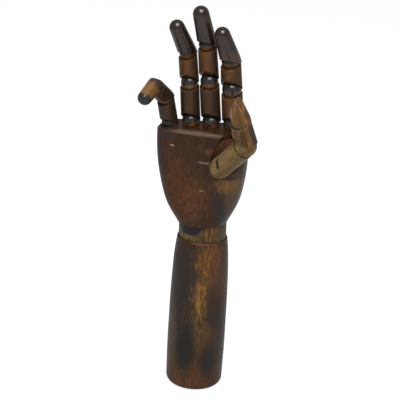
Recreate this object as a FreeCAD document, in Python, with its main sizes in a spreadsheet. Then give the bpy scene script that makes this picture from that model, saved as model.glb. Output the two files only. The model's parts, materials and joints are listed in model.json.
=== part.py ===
import FreeCAD, Part
import Sketcher
import math
import os

# Jointed wooden hand on its forearm, a right hand.
# Z is up, -Y is the palm side and +X the thumb side.
# The origin is the centre of the forearm's flat base.

sizes = {
    # forearm, turned, hollow for the wrist rod
    "baseRadius": 25.75,
    "baseRounding": 4.6,
    "bellyRadius": 26.0,
    "bellyHeight": 66.0,
    "bellyCurve": 1400.0,
    "taperCurve": 1000.0,
    "shoulderRadius": 24.6,
    "shoulderHeight": 119.0,
    "shoulderCurve": 225.0,
    "forearmHeight": 142.4,
    "forearmRimRadius": 22.25,
    "counterboreRadius": 9.5,
    "counterboreDepth": 26.0,
    "plugHeight": 6.0,
    "plugBreak": 0.4,
    # wrist ball, rod, tie and pins
    "wristBallRadius": 21.3,
    "wristGap": 0.25,
    "wristRimDrop": 0.95,
    "wristBelt": 13.6,
    "wristBeltRadius": 21.1,
    "wristTilt": 2.0,
    "wristBend": 5.6,
    "wristTiltReach": 9.0,
    "wristBendReach": 20.0,
    "rodRadius": 3.5,
    "rodEndLength": 3.0,
    "eyeRadius": 3.2,
    "flatThickness": 3.0,
    "slotGap": 0.3,
    "wristPinRadius": 1.6,
    "wristPinLength": 30.0,
    "tieLength": 12.0,
    "runningGap": 0.05,
    "washerRadius": 8.2,
    "washerThickness": 1.6,
    "nutWidth": 11.0,
    "nutHeight": 6.0,
    # palm, a shield with rounded sides
    "palmHeight": 86.8,
    "palmRimRadius": 21.95,
    "palmRimCorner": 21.4,
    "palmRimSlant": 4.0,
    "heelHeight": 6.2,
    "heelWidth": 49.4,
    "heelDepth": 44.0,
    "heelCorner": 20.5,
    "lowerHeight": 15.0,
    "lowerWidth": 58.6,
    "lowerDepth": 43.2,
    "lowerCorner": 18.5,
    "middleHeight": 32.0,
    "middleWidth": 69.4,
    "middleDepth": 41.0,
    "middleCorner": 16.5,
    "upperHeight": 56.0,
    "upperWidth": 76.4,
    "upperDepth": 37.4,
    "upperCorner": 14.0,
    "crownHeight": 72.0,
    "crownWidth": 77.6,
    "crownDepth": 34.6,
    "crownCorner": 12.5,
    "topWidth": 76.4,
    "topDepth": 32.4,
    "topCorner": 11.5,
    "topBreak": 1.2,
    # finger joints
    "ballGap": 0.3,
    "socketWall": 0.55,
    "rimTilt": 12.0,
    "rimGap": 0.4,
    "bevelAngle": 40.0,
    "knuckleFold": 52.0,
    "middleFold": 54.0,
    "endFold": 66.0,
    "linkThickness": 0.9,
    "linkHalfWidth": 1.9,
    "linkShank": 7.0,
    "linkSlotGap": 0.12,
    "linkPinRadius": 0.9,
    "stemRadius": 2.6,
    "stemLength": 9.0,
    "stemGap": 1.0,
    # index finger
    "indexPlace": 25.4,
    "indexDepth": 4.0,
    "indexSeat": 3.9,
    "indexTwist": 15.0,
    "indexBevelTwist": 8.5,
    "indexEndTwist": 5.5,
    "indexBevelLiftOne": 1.6,
    "indexBevelLiftTwo": 3.0,
    "indexBendOne": 4.7,
    "indexBendTwo": 0.5,
    "indexBendThree": 21.8,
    "indexLengthOne": 31.0,
    "indexLengthTwo": 24.8,
    "indexLengthThree": 33.4,
    "indexRadiusOne": 9.1,
    "indexRadiusTwo": 8.9,
    "indexRadiusThree": 8.5,
    "indexRadiusTip": 6.3,
    # middle finger
    "middlePlace": 6.5,
    "middleDepthPlace": 4.0,
    "middleSeat": 3.9,
    "middleTwist": 14.5,
    "middleBevelTwist": 8.0,
    "middleEndTwist": 5.0,
    "middleBevelLiftOne": 3.6,
    "middleBevelLiftTwo": 5.0,
    "middleBendOne": 5.3,
    "middleBendTwo": 0.5,
    "middleBendThree": 13.0,
    "middleLengthOne": 36.7,
    "middleLengthTwo": 32.5,
    "middleLengthThree": 34.2,
    "middleRadiusOne": 8.5,
    "middleRadiusTwo": 8.3,
    "middleRadiusThree": 7.8,
    "middleRadiusTip": 6.6,
    # ring finger
    "ringPlace": -11.6,
    "ringDepth": 4.0,
    "ringSeat": 3.9,
    "ringTwist": 14.5,
    "ringBevelTwist": 8.0,
    "ringEndTwist": 4.0,
    "ringBevelLiftOne": 2.6,
    "ringBevelLiftTwo": 3.0,
    "ringBendOne": 2.7,
    "ringBendTwo": 2.8,
    "ringBendThree": 26.3,
    "ringLengthOne": 33.7,
    "ringLengthTwo": 26.6,
    "ringLengthThree": 33.9,
    "ringRadiusOne": 8.3,
    "ringRadiusTwo": 8.1,
    "ringRadiusThree": 7.8,
    "ringRadiusTip": 6.3,
    # little finger
    "littlePlace": -29.4,
    "littleDepth": 0.0,
    "littleSeat": 1.6,
    "littleTwist": 12.0,
    "littleBevelTwist": 0.0,
    "littleEndTwist": 0.0,
    "littleBevelLiftOne": 0.9,
    "littleBevelLiftTwo": 0.0,
    "littleBendOne": 14.8,
    "littleBendTwo": 34.4,
    "littleBendThree": 61.0,
    "littleLengthOne": 25.1,
    "littleLengthTwo": 21.8,
    "littleLengthThree": 23.1,
    "littleRadiusOne": 7.6,
    "littleRadiusTwo": 7.4,
    "littleRadiusThree": 6.7,
    "littleRadiusTip": 5.9,
    # thumb
    "thumbRootX": 19.5,
    "thumbRootY": -12.6,
    "thumbRootZ": 56.4,
    "thumbSwingX": 24.75,
    "thumbSwingY": -15.4,
    "thumbSwingZ": 27.8,
    "thumbLeanX": -2.8,
    "thumbLeanY": -6.0,
    "thumbLeanZ": 23.15,
    "thumbTipBend": 4.6,
    "thumbRootRadius": 10.2,
    "thumbRootGap": 0.3,
    "thumbNeckRadius": 9.3,
    "thumbNeckHeight": 9.0,
    "thumbHollowReach": 10.0,
    "thumbHollowLean": 10.0,
    "thumbSlotReach": 19.0,
    "thumbRadiusOne": 10.2,
    "thumbRadiusTwo": 8.3,
    "thumbRadiusTip": 5.2,
    "thumbBevelAngle": 48.0,
    "thumbBevelTwist": 46.0,
    "thumbBevelLift": 1.5,
    "thumbFold": 52.0,
    "thumbEndFold": 60.0,
    "thumbLengthTwo": 24.1,
    "thumbLengthThree": 19.1,
    "thumbStudRadius": 3.0,
    "thumbStudLength": 10.0,
    "thumbFlatThickness": 2.2,
    "thumbEyeRadius": 2.8,
    "thumbPinRadius": 1.4,
    "thumbPinLength": 15.0,
    "gableHeight": 6.0,
    # one overrun for every cut
    "cutOverrun": 2.0,
}

# shares of the sizes that they follow
rimDepthShare = 0.55
domeShare = 0.93
pinShare = 1.5
straightShare = 0.2

doc = FreeCAD.newDocument("WoodenHand")
sheet = doc.addObject("Spreadsheet::Sheet", "Sizes")
for row, (name, number) in enumerate(sizes.items(), 1):
    sheet.set(f"A{row}", name)
    sheet.set(f"B{row}", str(number))
    sheet.setAlias(f"B{row}", name)
doc.recompute()


# a size keeps its number together with the formula that the document binds
class Size:
    def __init__(self, number, text):
        self.number = number
        self.text = text

    def joined(self, other, sign, number):
        return Size(number, f"({self.text} {sign} {other.text})")

    def __add__(self, other):
        return self.joined(other, "+", self.number + other.number)

    def __sub__(self, other):
        return self.joined(other, "-", self.number - other.number)

    def __mul__(self, share):
        if isinstance(share, Size):
            return self.joined(share, "*", self.number * share.number)
        return Size(self.number * share, f"({self.text} * {share})")

    def __truediv__(self, share):
        if isinstance(share, Size):
            return self.joined(share, "/", self.number / share.number)
        return Size(self.number / share, f"({self.text} / {share})")

    def __neg__(self):
        return Size(-self.number, f"(-{self.text})")


def cell(name):
    return Size(float(getattr(sheet, name)), f"Sizes.{name}")


def root(size):
    return Size(math.sqrt(size.number), f"sqrt({size.text})")


def slope(angle):
    return Size(math.tan(math.radians(angle.number)), f"tan({angle.text} * 1 deg)")


def sine(angle):
    return Size(math.sin(math.radians(angle.number)), f"sin({angle.text} * 1 deg)")


def cosine(angle):
    return Size(math.cos(math.radians(angle.number)), f"cos({angle.text} * 1 deg)")


# the third side of a right triangle
def leg(long, short):
    return root(long * long - short * short)


zero = Size(0.0, "0")
sizeOne = Size(1.0, "1")
subParts = []


def makeBody(name, frame):
    body = doc.addObject("PartDesign::Body", name)
    body.Label = name
    body.Placement = frame
    subParts.append(body)
    return body


def makeSketch(body, name, role, lift=None, facing=None):
    sketch = body.newObject("Sketcher::SketchObject", f"{body.Name}_{name}")
    plane = [item for item in body.Origin.OriginFeatures if item.Role == role][0]
    sketch.AttachmentSupport = [(plane, "")]
    sketch.MapMode = "FlatFace"
    if lift is not None:
        sketch.setExpression("AttachmentOffset.Base.z", lift.text)
    if facing is not None:
        around = FreeCAD.Rotation(FreeCAD.Vector(0, 1, 0), facing.number)
        sketch.AttachmentOffset = FreeCAD.Placement(FreeCAD.Vector(0, 0, 0), around)
        sketch.setExpression("AttachmentOffset.Rotation.Angle", facing.text)
    return sketch


# ties one end of a sketch edge to a place given by two sizes
def pinPoint(sketch, edge, end, x, y):
    for kind, axis, place in (("DistanceX", -2, x), ("DistanceY", -1, y)):
        if place is zero:
            sketch.addConstraint(Sketcher.Constraint("PointOnObject", edge, end, axis))
        else:
            at = sketch.addConstraint(Sketcher.Constraint(kind, -1, 1, edge, end, place.number))
            sketch.setExpression(f"Constraints[{at}]", place.text)


# closed outline; arcs gives, for an edge's number, its radius and the side of its centre
def outline(sketch, points, arcs=None):
    arcs = arcs or {}
    count = len(points)
    for edge in range(count):
        (x1, y1), (x2, y2) = points[edge], points[(edge + 1) % count]
        start = FreeCAD.Vector(x1.number, y1.number, 0)
        end = FreeCAD.Vector(x2.number, y2.number, 0)
        if edge not in arcs:
            sketch.addGeometry(Part.LineSegment(start, end))
            continue
        radius, side = arcs[edge]
        chord = end - start
        across = FreeCAD.Vector(-chord.y, chord.x, 0)
        rise = math.sqrt(max(radius.number ** 2 - chord.Length ** 2 / 4, 0))
        centre = (start + end) / 2 + across / chord.Length * rise * side
        middle = centre - across / chord.Length * radius.number * side
        # arcs always run anticlockwise in a sketch
        if side < 0:
            start, end = end, start
        sketch.addGeometry(Part.Arc(start, middle, end))
    ends = []
    for edge in range(count):
        shape = sketch.Geometry[edge]
        first = FreeCAD.Vector(points[edge][0].number, points[edge][1].number, 0)
        swapped = (shape.StartPoint - first).Length > (shape.EndPoint - first).Length
        ends.append((2, 1) if swapped else (1, 2))
    for edge in range(count):
        after = (edge + 1) % count
        joint = Sketcher.Constraint("Coincident", edge, ends[edge][1], after, ends[after][0])
        sketch.addConstraint(joint)
        pinPoint(sketch, edge, ends[edge][0], *points[edge])
    for edge, (radius, side) in arcs.items():
        at = sketch.addConstraint(Sketcher.Constraint("Radius", edge, radius.number))
        sketch.setExpression(f"Constraints[{at}]", radius.text)


def circle(sketch, x, y, radius):
    place = FreeCAD.Vector(x.number, y.number, 0)
    sketch.addGeometry(Part.Circle(place, FreeCAD.Vector(0, 0, 1), radius.number))
    pinPoint(sketch, 0, 3, x, y)
    at = sketch.addConstraint(Sketcher.Constraint("Radius", 0, radius.number))
    sketch.setExpression(f"Constraints[{at}]", radius.text)


def turned(body, name, points, arcs=None):
    sketch = makeSketch(body, f"{name}Profile", "XZ_Plane")
    outline(sketch, points, arcs)
    feature = body.newObject("PartDesign::Revolution", f"{body.Name}_{name}")
    feature.Profile = sketch
    feature.ReferenceAxis = (sketch, ["V_Axis"])
    feature.Angle = 360
    return feature


# a pad or pocket that runs the same length to both sides of its sketch
def bothWays(body, kind, name, sketch, length):
    feature = body.newObject(f"PartDesign::{kind}", f"{body.Name}_{name}")
    feature.Profile = sketch
    feature.SideType = "Symmetric"
    feature.setExpression("Length", length.text)
    return feature


# a pad or pocket from a sketch at a height, upwards for a pad and downwards for a pocket
def oneWay(body, kind, name, sketch, length):
    feature = body.newObject(f"PartDesign::{kind}", f"{body.Name}_{name}")
    feature.Profile = sketch
    feature.setExpression("Length", length.text)
    return feature


def sideCut(body, name, points, length, role="YZ_Plane", facing=None):
    sketch = makeSketch(body, f"{name}Outline", role, facing=facing)
    outline(sketch, points)
    return bothWays(body, "Pocket", name, sketch, length)


def boreCut(body, name, x, y, radius, length, role="YZ_Plane"):
    sketch = makeSketch(body, f"{name}Outline", role)
    circle(sketch, x, y, radius)
    return bothWays(body, "Pocket", name, sketch, length)


def setPlace(feature, x, y, z):
    for letter, place in (("x", x), ("y", y), ("z", z)):
        if place is not zero:
            feature.setExpression(f"Placement.Base.{letter}", place.text)


def sphere(body, kind, name, radius, z=zero, x=zero, y=zero):
    feature = body.newObject(f"PartDesign::{kind}Sphere", f"{body.Name}_{name}")
    feature.setExpression("Radius", radius.text)
    setPlace(feature, x, y, z)
    return feature


def post(body, kind, name, radius, low, high, x=zero, y=zero):
    feature = body.newObject(f"PartDesign::{kind}Cylinder", f"{body.Name}_{name}")
    feature.setExpression("Radius", radius.text)
    feature.setExpression("Height", (high - low).text)
    setPlace(feature, x, y, low)
    return feature


# Frames
def turn(axis, angle):
    return FreeCAD.Placement(FreeCAD.Vector(0, 0, 0), FreeCAD.Rotation(axis, angle))


def shift(x, y, z):
    return FreeCAD.Placement(FreeCAD.Vector(x, y, z), FreeCAD.Rotation())


axisX = FreeCAD.Vector(1, 0, 0)
axisY = FreeCAD.Vector(0, 1, 0)
axisZ = FreeCAD.Vector(0, 0, 1)

cutOverrun = cell("cutOverrun")
ballCentre = cell("forearmHeight") + cell("wristRimDrop")
wristBelt = cell("wristBelt")

baseFrame = FreeCAD.Placement()
rodFrame = shift(0, 0, ballCentre.number)
ballFrame = rodFrame * turn(axisY, -cell("wristTilt").number)
palmFrame = ballFrame * shift(0, 0, wristBelt.number) * turn(axisX, cell("wristBend").number)


# Forearm
def makeForearm():
    baseRadius = cell("baseRadius")
    baseRounding = cell("baseRounding")
    height = cell("forearmHeight")
    cupRadius = cell("wristBallRadius") + cell("wristGap")
    bore = cell("rodRadius") + cell("runningGap")
    well = cell("counterboreRadius")
    depth = cell("counterboreDepth")
    points = [
        (well, zero),
        (baseRadius - baseRounding, zero),
        (baseRadius, baseRounding),
        (cell("bellyRadius"), cell("bellyHeight")),
        (cell("shoulderRadius"), cell("shoulderHeight")),
        (cell("forearmRimRadius"), height),
        (leg(cupRadius, cell("wristRimDrop")), height),
        (bore, ballCentre - leg(cupRadius, bore)),
        (bore, depth),
        (well, depth),
    ]
    arcs = {
        1: (baseRounding, 1),
        2: (cell("bellyCurve"), 1),
        3: (cell("taperCurve"), 1),
        4: (cell("shoulderCurve"), 1),
        6: (cupRadius, -1),
    }
    body = makeBody("forearm", baseFrame)
    turned(body, "turning", points, arcs)


# a wooden plug closes the well and stands flush with the foot
def makeBasePlug():
    radius = cell("counterboreRadius") - cell("runningGap")
    height = cell("plugHeight")
    rounding = cell("plugBreak")
    points = [
        (zero, zero),
        (radius - rounding, zero),
        (radius, rounding),
        (radius, height),
        (zero, height),
    ]
    body = makeBody("base_plug", baseFrame)
    turned(body, "turning", points, {})


# Wrist ball: two spherical ends on a straight belt, slotted below for the rod and above for the tie
def makeWristBall():
    radius = cell("wristBallRadius")
    eye = cell("eyeRadius")
    gap = cell("slotGap")
    thick = cell("flatThickness") + gap * 2
    body = makeBody("wrist_ball", ballFrame)
    belt = cell("wristBeltRadius")
    edge = leg(radius, belt)
    points = [
        (zero, -radius),
        (belt, -edge),
        (belt, wristBelt + edge),
        (zero, wristBelt + radius),
    ]
    turned(body, "turning", points, {0: (radius, 1), 2: (radius, 1)})
    reach = radius + cutOverrun
    low = eye + reach * slope(cell("wristTiltReach"))
    high = eye + reach * slope(cell("wristBendReach"))
    rodSlot = [
        (-(eye + gap), eye + gap),
        (-(eye + gap), zero),
        (-low, -reach),
        (low, -reach),
        (eye + gap, zero),
        (eye + gap, eye + gap),
    ]
    sideCut(body, "rodSlot", rodSlot, thick, "XZ_Plane")
    tieSlot = [
        (-(eye + gap), wristBelt - eye - gap),
        (eye + gap, wristBelt - eye - gap),
        (eye + gap, wristBelt),
        (high, wristBelt + reach),
        (-high, wristBelt + reach),
        (-(eye + gap), wristBelt),
    ]
    sideCut(body, "tieSlot", tieSlot, thick)
    through = (radius + cutOverrun) * 2
    pin = cell("wristPinRadius")
    boreCut(body, "tiltBore", zero, zero, pin, through, "XZ_Plane")
    boreCut(body, "bendBore", zero, wristBelt, pin, through)


def makeWristPins():
    length = cell("wristPinLength")
    radius = cell("wristPinRadius")
    for name, role, height in (
        ("wrist_tilt_pin", "XZ_Plane", zero),
        ("wrist_bend_pin", "YZ_Plane", wristBelt),
    ):
        body = makeBody(name, ballFrame)
        sketch = makeSketch(body, "round", role)
        circle(sketch, zero, height, radius)
        bothWays(body, "Pad", "pin", sketch, length)


# Flat steel eye on a shank, with its hole on the frame's origin
def addEye(body, role, radius, thick, low, hole):
    sketch = makeSketch(body, "eyeOutline", role)
    circle(sketch, zero, zero, radius)
    bothWays(body, "Pad", "eye", sketch, thick)
    sketch = makeSketch(body, "shankOutline", role)
    outline(sketch, [(-radius, low), (radius, low), (radius, zero), (-radius, zero)])
    bothWays(body, "Pad", "shank", sketch, thick)
    boreCut(body, "hole", zero, zero, hole, thick * 2, role)


def makeWristRod():
    radius = cell("wristBallRadius")
    eye = cell("eyeRadius")
    thick = cell("flatThickness")
    shoulder = -(radius + cell("wristGap") + cutOverrun)
    foot = cell("counterboreDepth") - cell("washerThickness") - cell("nutHeight")
    bottom = foot - cell("rodEndLength") - ballCentre
    body = makeBody("wrist_rod", rodFrame)
    addEye(body, "XZ_Plane", eye, thick, shoulder, cell("wristPinRadius") + cell("runningGap"))
    post(body, "Additive", "rod", cell("rodRadius"), bottom, shoulder)


def makeWristWasher():
    rod = cell("rodRadius")
    top = cell("counterboreDepth")
    low = top - cell("washerThickness")
    body = makeBody("wrist_washer", baseFrame)
    edge = cell("washerRadius")
    turned(body, "turning", [(rod, low), (edge, low), (edge, top), (rod, top)])


def makeWristNut():
    top = cell("counterboreDepth") - cell("washerThickness")
    side = cell("nutWidth") / math.sqrt(3)
    half = cell("nutWidth") / 2
    body = makeBody("wrist_nut", baseFrame)
    sketch = makeSketch(body, "hexagon", "XY_Plane", top - cell("nutHeight"))
    corners = [
        (side, zero),
        (side / 2, half),
        (-(side / 2), half),
        (-side, zero),
        (-(side / 2), -half),
        (side / 2, -half),
    ]
    outline(sketch, corners)
    oneWay(body, "Pad", "block", sketch, cell("nutHeight"))
    post(body, "Subtractive", "bore", cell("rodRadius"), top - cell("nutHeight") * 2, top + cutOverrun)


def makePalmTie():
    eye = cell("eyeRadius")
    thick = cell("flatThickness")
    cup = cell("wristBallRadius") + cell("wristGap")
    body = makeBody("palm_tie", palmFrame)
    hole = cell("wristPinRadius") + cell("runningGap")
    addEye(body, "YZ_Plane", eye, thick, cup + cell("tieLength"), hole)


# Fingers: names, then what each one reads from the sheet
fingers = {
    "index": "indexDepth",
    "middle": "middleDepthPlace",
    "ring": "ringDepth",
    "little": "littleDepth",
}


def fingerFrames(finger):
    place = cell(f"{finger}Place").number
    depth = cell(fingers[finger]).number
    seat = cell("palmHeight").number + cell(f"{finger}Seat").number
    knuckle = palmFrame * shift(place, depth, seat) * turn(axisZ, -cell(f"{finger}Twist").number)
    first = knuckle * turn(axisX, cell(f"{finger}BendOne").number)
    second = first * shift(0, 0, cell(f"{finger}LengthOne").number)
    second = second * turn(axisX, cell(f"{finger}BendTwo").number)
    third = second * shift(0, 0, cell(f"{finger}LengthTwo").number)
    third = third * turn(axisZ, -cell(f"{finger}EndTwist").number)
    third = third * turn(axisX, cell(f"{finger}BendThree").number)
    return knuckle, first, second, third


# the ball fits its socket with one gap and the socket keeps one wall
def socketOf(outer):
    return outer - cell("socketWall")


def ballOf(outer):
    return outer - cell("socketWall") - cell("ballGap")


# rounded rectangle across the palm at a height
def roundedSection(body, number, height, halfWidth, halfDepth, corner):
    sketch = makeSketch(body, f"section{number}", "XY_Plane", height)
    points = [
        (halfWidth - corner, -halfDepth),
        (halfWidth, corner - halfDepth),
        (halfWidth, halfDepth - corner),
        (halfWidth - corner, halfDepth),
        (corner - halfWidth, halfDepth),
        (-halfWidth, halfDepth - corner),
        (-halfWidth, corner - halfDepth),
        (corner - halfWidth, -halfDepth),
    ]
    outline(sketch, points, {edge: (corner, 1) for edge in (0, 2, 4, 6)})
    return sketch


# Palm: a loft through rounded sections, with its wrist cup, finger seats and thumb hollow
def makePalm():
    body = makeBody("palm", palmFrame)
    rim = cell("palmRimRadius")
    sections = [
        (cell("wristRimDrop"), rim, rim, cell("palmRimCorner")),
        (cell("heelHeight"), cell("heelWidth") / 2, cell("heelDepth") / 2, cell("heelCorner")),
        (cell("lowerHeight"), cell("lowerWidth") / 2, cell("lowerDepth") / 2, cell("lowerCorner")),
        (cell("middleHeight"), cell("middleWidth") / 2, cell("middleDepth") / 2, cell("middleCorner")),
        (cell("upperHeight"), cell("upperWidth") / 2, cell("upperDepth") / 2, cell("upperCorner")),
        (cell("crownHeight"), cell("crownWidth") / 2, cell("crownDepth") / 2, cell("crownCorner")),
        (cell("palmHeight") - cell("topBreak"), cell("topWidth") / 2, cell("topDepth") / 2, cell("topCorner")),
    ]
    sketches = [roundedSection(body, number, *section) for number, section in enumerate(sections)]
    loft = body.newObject("PartDesign::AdditiveLoft", "palm_loft")
    loft.Profile = sketches[0]
    loft.Sections = sketches[1:]
    # the top edge is broken by a narrow slope
    slanting = cell("topBreak")
    height, halfWidth, halfDepth, corner = sections[-1]
    low = roundedSection(body, "breakLow", height, halfWidth, halfDepth, corner)
    high = roundedSection(
        body,
        "breakHigh",
        height + slanting,
        halfWidth - slanting,
        halfDepth - slanting,
        corner - slanting,
    )
    slant = body.newObject("PartDesign::AdditiveLoft", "palm_topBreak")
    slant.Profile = low
    slant.Sections = [high]
    slant.Ruled = True
    # the rim rises towards the palm side
    low = cell("wristRimDrop")
    reach = cell("heelDepth")
    rise = reach * slope(cell("palmRimSlant"))
    slantCut = [(zero, low), (-reach, low + rise), (-reach, -reach), (zero, -reach)]
    sideCut(body, "rimSlant", slantCut, cell("topWidth") * 2)
    sphere(body, "Subtractive", "wristCup", cell("wristBallRadius") + cell("wristGap"))
    tie = cell("eyeRadius")
    cup = cell("wristBallRadius") + cell("wristGap")
    kerf = [(-tie, zero), (tie, zero), (tie, cup + cell("tieLength")), (-tie, cup + cell("tieLength"))]
    sideCut(body, "tieKerf", kerf, cell("flatThickness"))
    for finger, depthName in fingers.items():
        place = cell(f"{finger}Place")
        depth = cell(depthName)
        centre = cell("palmHeight") + cell(f"{finger}Seat")
        seat = socketOf(cell(f"{finger}RadiusOne"))
        sphere(body, "Subtractive", f"{finger}Seat", seat, centre, place, depth)
        low = centre - ballOf(cell(f"{finger}RadiusOne")) - cell("stemLength") - cell("stemGap")
        bore = cell("stemRadius") + cell("runningGap")
        post(body, "Subtractive", f"{finger}Bore", bore, low, centre, place, depth)
    hollowThumb(body)


# direction of the thumb's first bone and its hinge axis, both in the palm's frame
def thumbFrame():
    swing = FreeCAD.Vector(*[cell(f"thumbSwing{letter}").number for letter in "XYZ"])
    lean = FreeCAD.Vector(*[cell(f"thumbLean{letter}").number for letter in "XYZ"])
    hinge = swing.cross(lean).normalize()
    along = FreeCAD.Vector(swing).normalize()
    facing = FreeCAD.Rotation(hinge, along.cross(hinge), along, "ZXY")
    root = FreeCAD.Vector(*[cell(f"thumbRoot{letter}").number for letter in "XYZ"])
    return FreeCAD.Placement(root, facing)


# length of the first thumb bone and the bend of the second on it
def thumbReaches():
    swing = FreeCAD.Vector(*[cell(f"thumbSwing{letter}").number for letter in "XYZ"])
    lean = FreeCAD.Vector(*[cell(f"thumbLean{letter}").number for letter in "XYZ"])
    return swing.Length, math.degrees(swing.getAngle(lean))


# the hollow widens outwards, so that the thumb can swing in it
def hollowThumb(body):
    frame = thumbFrame()
    inner = cell("thumbRootRadius") + cell("thumbRootGap")
    ball = sphere(body, "Subtractive", "thumbHollow", inner)
    ball.Placement = frame
    funnel = body.newObject("PartDesign::SubtractiveCone", "palm_thumbFunnel")
    length = cell("palmHeight") / 2
    funnel.setExpression("Radius1", inner.text)
    funnel.setExpression("Radius2", (inner + length * slope(cell("thumbHollowReach"))).text)
    funnel.setExpression("Height", length.text)
    funnel.Placement = frame * turn(axisX, cell("thumbHollowLean").number)
    bore = post(
        body,
        "Subtractive",
        "studBore",
        cell("thumbStudRadius") + cell("runningGap"),
        zero,
        inner + cell("thumbStudLength") + cell("stemGap"),
    )
    bore.Placement = frame * turn(axisX, 180)


# Knuckle and joint balls
# the slot lets the link swing from upright to the joint's full fold
def addSlot(body, radius, fold):
    half = cell("linkHalfWidth") + cell("linkSlotGap")
    reach = radius + cutOverrun
    thick = cell("linkThickness") + cell("linkSlotGap") * 2
    run = half * (sizeOne - sine(fold)) / cosine(fold)
    points = [
        (half, -half),
        (half, reach),
        (-(half * cosine(fold) + reach * sine(fold)), reach),
        (-(half * cosine(fold) + reach * sine(fold)), reach * cosine(fold) - half * sine(fold)),
        (run * sine(fold) - half * cosine(fold), -half),
    ]
    sideCut(body, "linkSlot", points, thick)
    bore = cell("linkPinRadius") + cell("runningGap")
    boreCut(body, "pinBore", zero, zero, bore, radius * 2 + cutOverrun)


def makeKnuckle(finger, frame):
    radius = ballOf(cell(f"{finger}RadiusOne"))
    body = makeBody(f"{finger}_knuckle", frame)
    sphere(body, "Additive", "ball", radius)
    post(body, "Additive", "stem", cell("stemRadius"), -(radius + cell("stemLength")), -(radius / 2))
    addSlot(body, radius, cell("knuckleFold"))


def makeBall(name, frame, outer, fold):
    radius = ballOf(outer)
    body = makeBody(name, frame)
    sphere(body, "Additive", "ball", radius)
    addSlot(body, radius, fold)


# Steel link with its brass pin, the pin across the eye
def makeHinge(name, frame, outer):
    radius = ballOf(outer)
    half = cell("linkHalfWidth")
    top = socketOf(outer) + cell("linkShank")
    body = makeBody(name, frame)
    sketch = makeSketch(body, "eyeOutline", "YZ_Plane")
    circle(sketch, zero, zero, half)
    bothWays(body, "Pad", "eye", sketch, cell("linkThickness"))
    sketch = makeSketch(body, "shankOutline", "YZ_Plane")
    outline(sketch, [(-half, zero), (half, zero), (half, top), (-half, top)])
    bothWays(body, "Pad", "shank", sketch, cell("linkThickness"))
    sketch = makeSketch(body, "pinRound", "YZ_Plane")
    circle(sketch, zero, zero, cell("linkPinRadius"))
    bothWays(body, "Pad", "pin", sketch, radius * pinShare)


# cut under a piece: square to its axis behind, bevelled towards the palm side in front
def bevelFoot(body, outer, depth, tilt, lift, facing=None, bevelName="bevelAngle"):
    reach = outer + cutOverrun
    bevel = slope(cell(bevelName))
    back = depth - cell("rimGap")
    cornerY = (lift + back) / (bevel + tilt)
    cornerZ = lift - cornerY * bevel
    bottom = -(outer + cutOverrun)
    points = [
        (-reach, bottom),
        (reach, bottom),
        (reach, reach * tilt - back),
        (cornerY, cornerZ),
        (-reach, lift + reach * bevel),
    ]
    sideCut(body, "footBevel", points, reach * 2, facing=facing)


# slanting top rim, lower on the palm side, where the next ball sits
def slantRim(body, outer, length, depth, tilt, facing=None):
    reach = outer + cutOverrun
    top = length + cutOverrun
    points = [
        (-reach, length - depth - reach * tilt),
        (reach, length - depth + reach * tilt),
        (reach, top),
        (-reach, top),
    ]
    sideCut(body, "rimSlant", points, reach * 2, facing=facing)


def addKerf(body, outer):
    half = cell("linkHalfWidth")
    top = socketOf(outer) + cell("linkShank")
    points = [(-half, zero), (half, zero), (half, top), (-half, top)]
    sideCut(body, "linkKerf", points, cell("linkThickness"))


# a bone between two joints, with a socket below and a cup above
def makeBone(name, frame, length, low, high, lowDepth, highTilt):
    socket = socketOf(low)
    cup = ballOf(high)
    highDepth = cup * rimDepthShare
    highTop = length - highDepth + high * highTilt
    cupRim = highDepth - high * highTilt
    body = makeBody(name, frame)
    points = [
        (leg(socket, lowDepth), -lowDepth),
        (low, -lowDepth),
        (low, low * straightShare),
        (high, highTop),
        (leg(cup, cupRim), highTop),
        (zero, length - cup),
        (zero, socket),
    ]
    turned(body, "turning", points, {4: (cup, -1), 6: (socket, -1)})
    return body


# an end bone: it tapers to a dome
def makeTip(name, frame, length, low, tip):
    rimTilt = slope(cell("rimTilt"))
    socket = socketOf(low)
    lowDepth = ballOf(low) * rimDepthShare
    dome = tip * domeShare
    domeRadius = (tip * tip + dome * dome) / (dome * 2)
    body = makeBody(name, frame)
    points = [
        (leg(socket, lowDepth), -lowDepth),
        (low, -lowDepth),
        (low, low * straightShare),
        (tip, length - dome),
        (zero, length),
        (zero, socket),
    ]
    turned(body, "turning", points, {3: (domeRadius, 1), 5: (socket, -1)})
    bevelFoot(body, low, lowDepth, rimTilt, zero)
    addKerf(body, low)
    return body


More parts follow.
